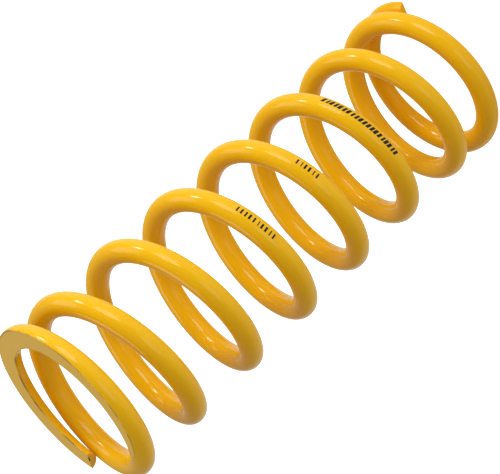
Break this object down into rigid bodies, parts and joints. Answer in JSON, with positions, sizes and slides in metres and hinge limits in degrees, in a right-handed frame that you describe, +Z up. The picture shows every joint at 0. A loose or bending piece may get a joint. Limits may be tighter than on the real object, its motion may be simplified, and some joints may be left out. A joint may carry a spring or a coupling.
{
  "type": "coil spring",
  "caption": "Straight helical compression spring of round coated wire, with closed and ground flat ends, for fitting over a shock absorber.",
  "frame": {"origin": "centre of the coil axis on the lower ground face", "axes": "+Z up along the coil axis towards the upper ground face; the lower wire tip is on the +X side"},
  "size_m": [0.0846, 0.0846, 0.2483],
  "materials": {
    "coated_wire": "glossy yellow powder coat"
  },
  "bodies": {
    "lower_end_coil": {"lower_end_coil": "coated_wire"},
    "coil_1_arc_1": {"coil_1_arc_1": "coated_wire"},
    "coil_1_arc_2": {"coil_1_arc_2": "coated_wire"},
    "coil_1_arc_3": {"coil_1_arc_3": "coated_wire"},
    "coil_2_arc_1": {"coil_2_arc_1": "coated_wire"},
    "coil_2_arc_2": {"coil_2_arc_2": "coated_wire"},
    "coil_2_arc_3": {"coil_2_arc_3": "coated_wire"},
    "coil_3_arc_1": {"coil_3_arc_1": "coated_wire"},
    "coil_3_arc_2": {"coil_3_arc_2": "coated_wire"},
    "coil_3_arc_3": {"coil_3_arc_3": "coated_wire"},
    "coil_4_arc_1": {"coil_4_arc_1": "coated_wire"},
    "coil_4_arc_2": {"coil_4_arc_2": "coated_wire"},
    "coil_4_arc_3": {"coil_4_arc_3": "coated_wire"},
    "coil_5_arc_1": {"coil_5_arc_1": "coated_wire"},
    "coil_5_arc_2": {"coil_5_arc_2": "coated_wire"},
    "coil_5_arc_3": {"coil_5_arc_3": "coated_wire"},
    "coil_6_arc_1": {"coil_6_arc_1": "coated_wire"},
    "coil_6_arc_2": {"coil_6_arc_2": "coated_wire"},
    "coil_6_arc_3": {"coil_6_arc_3": "coated_wire"},
    "upper_end_coil": {"upper_end_coil": "coated_wire"}
  },
  "joints": [
    {"name": "twist_01", "type": "hinge", "parent": "lower_end_coil", "child": "coil_1_arc_1", "pos_m": [0, 0.037, 0.01612], "axis": [0.9938, 0, -0.111], "range_deg": [-0.09, 4.61], "stiffness_Nm_per_rad": 1250},
    {"name": "twist_02", "type": "hinge", "parent": "coil_1_arc_1", "child": "coil_1_arc_2", "pos_m": [-0.03204, -0.0185, 0.02617], "axis": [-0.4948, 0.857, -0.1438], "range_deg": [-0.14, 7.38], "stiffness_Nm_per_rad": 1250},
    {"name": "twist_03", "type": "hinge", "parent": "coil_1_arc_2", "child": "coil_1_arc_3", "pos_m": [0.03204, -0.0185, 0.03803], "axis": [-0.494, -0.8557, -0.1543], "range_deg": [0, 11.2], "stiffness_Nm_per_rad": 1250},
    {"name": "twist_04", "type": "hinge", "parent": "coil_1_arc_3", "child": "coil_2_arc_1", "pos_m": [0, 0.037, 0.05013], "axis": [0.988, 0, -0.1543], "range_deg": [-0.21, 10.64], "stiffness_Nm_per_rad": 1250},
    {"name": "twist_05", "type": "hinge", "parent": "coil_2_arc_1", "child": "coil_2_arc_2", "pos_m": [-0.03204, -0.0185, 0.06223], "axis": [-0.494, 0.8557, -0.1543], "range_deg": [-0.23, 11.78], "stiffness_Nm_per_rad": 1250},
    {"name": "twist_06", "type": "hinge", "parent": "coil_2_arc_2", "child": "coil_2_arc_3", "pos_m": [0.03204, -0.0185, 0.07433], "axis": [-0.494, -0.8557, -0.1543], "range_deg": [-0.23, 11.9], "stiffness_Nm_per_rad": 1250},
    {"name": "twist_07", "type": "hinge", "parent": "coil_2_arc_3", "child": "coil_3_arc_1", "pos_m": [0, 0.037, 0.08643], "axis": [0.988, 0, -0.1543], "range_deg": [-0.23, 11.52], "stiffness_Nm_per_rad": 1250},
    {"name": "twist_08", "type": "hinge", "parent": "coil_3_arc_1", "child": "coil_3_arc_2", "pos_m": [-0.03204, -0.0185, 0.09853], "axis": [-0.494, 0.8557, -0.1543], "range_deg": [-0.23, 11.55], "stiffness_Nm_per_rad": 1250},
    {"name": "twist_09", "type": "hinge", "parent": "coil_3_arc_2", "child": "coil_3_arc_3", "pos_m": [0.03204, -0.0185, 0.11063], "axis": [-0.494, -0.8557, -0.1543], "range_deg": [-0.23, 11.71], "stiffness_Nm_per_rad": 1250},
    {"name": "twist_10", "type": "hinge", "parent": "coil_3_arc_3", "child": "coil_4_arc_1", "pos_m": [0, 0.037, 0.12273], "axis": [0.988, 0, -0.1543], "range_deg": [-0.23, 11.54], "stiffness_Nm_per_rad": 1250},
    {"name": "twist_11", "type": "hinge", "parent": "coil_4_arc_1", "child": "coil_4_arc_2", "pos_m": [-0.03204, -0.0185, 0.13484], "axis": [-0.494, 0.8557, -0.1543], "range_deg": [-0.22, 11], "stiffness_Nm_per_rad": 1250},
    {"name": "twist_12", "type": "hinge", "parent": "coil_4_arc_2", "child": "coil_4_arc_3", "pos_m": [0.03204, -0.0185, 0.14694], "axis": [-0.494, -0.8557, -0.1543], "range_deg": [-0.22, 11.17], "stiffness_Nm_per_rad": 1250},
    {"name": "twist_13", "type": "hinge", "parent": "coil_4_arc_3", "child": "coil_5_arc_1", "pos_m": [0, 0.037, 0.15904], "axis": [0.988, 0, -0.1543], "range_deg": [-0.21, 10.95], "stiffness_Nm_per_rad": 1250},
    {"name": "twist_14", "type": "hinge", "parent": "coil_5_arc_1", "child": "coil_5_arc_2", "pos_m": [-0.03204, -0.0185, 0.17114], "axis": [-0.494, 0.8557, -0.1543], "range_deg": [-0.2, 10.46], "stiffness_Nm_per_rad": 1250},
    {"name": "twist_15", "type": "hinge", "parent": "coil_5_arc_2", "child": "coil_5_arc_3", "pos_m": [0.03204, -0.0185, 0.18324], "axis": [-0.494, -0.8557, -0.1543], "range_deg": [-0.21, 10.47], "stiffness_Nm_per_rad": 1250},
    {"name": "twist_16", "type": "hinge", "parent": "coil_5_arc_3", "child": "coil_6_arc_1", "pos_m": [0, 0.037, 0.19534], "axis": [0.988, 0, -0.1543], "range_deg": [-0.19, 9.72], "stiffness_Nm_per_rad": 1250},
    {"name": "twist_17", "type": "hinge", "parent": "coil_6_arc_1", "child": "coil_6_arc_2", "pos_m": [-0.03204, -0.0185, 0.20744], "axis": [-0.494, 0.8557, -0.1543], "range_deg": [-0.19, 9.71], "stiffness_Nm_per_rad": 1250},
    {"name": "twist_18", "type": "hinge", "parent": "coil_6_arc_2", "child": "coil_6_arc_3", "pos_m": [0.03204, -0.0185, 0.21954], "axis": [-0.494, -0.8557, -0.1543], "range_deg": [-0.1, 5.22], "stiffness_Nm_per_rad": 1250},
    {"name": "twist_19", "type": "hinge", "parent": "coil_6_arc_3", "child": "upper_end_coil", "pos_m": [0, 0.037, 0.23163], "axis": [0.9882, 0, -0.153], "range_deg": [-0.06, 2.84], "stiffness_Nm_per_rad": 1250}
  ],
  "couplings": [
    {"joint": "twist_01", "follows": "twist_03", "ratio": 0.40382},
    {"joint": "twist_02", "follows": "twist_03", "ratio": 0.64589},
    {"joint": "twist_04", "follows": "twist_03", "ratio": 0.93132},
    {"joint": "twist_05", "follows": "twist_03", "ratio": 1.0312},
    {"joint": "twist_06", "follows": "twist_03", "ratio": 1.0418},
    {"joint": "twist_07", "follows": "twist_03", "ratio": 1.0081},
    {"joint": "twist_08", "follows": "twist_03", "ratio": 1.0112},
    {"joint": "twist_09", "follows": "twist_03", "ratio": 1.025},
    {"joint": "twist_10", "follows": "twist_03", "ratio": 1.0099},
    {"joint": "twist_11", "follows": "twist_03", "ratio": 0.96259},
    {"joint": "twist_12", "follows": "twist_03", "ratio": 0.97791},
    {"joint": "twist_13", "follows": "twist_03", "ratio": 0.95841},
    {"joint": "twist_14", "follows": "twist_03", "ratio": 0.91521},
    {"joint": "twist_15", "follows": "twist_03", "ratio": 0.91619},
    {"joint": "twist_16", "follows": "twist_03", "ratio": 0.85059},
    {"joint": "twist_17", "follows": "twist_03", "ratio": 0.84975},
    {"joint": "twist_18", "follows": "twist_03", "ratio": 0.45675},
    {"joint": "twist_19", "follows": "twist_03", "ratio": 0.24831}
  ]
}
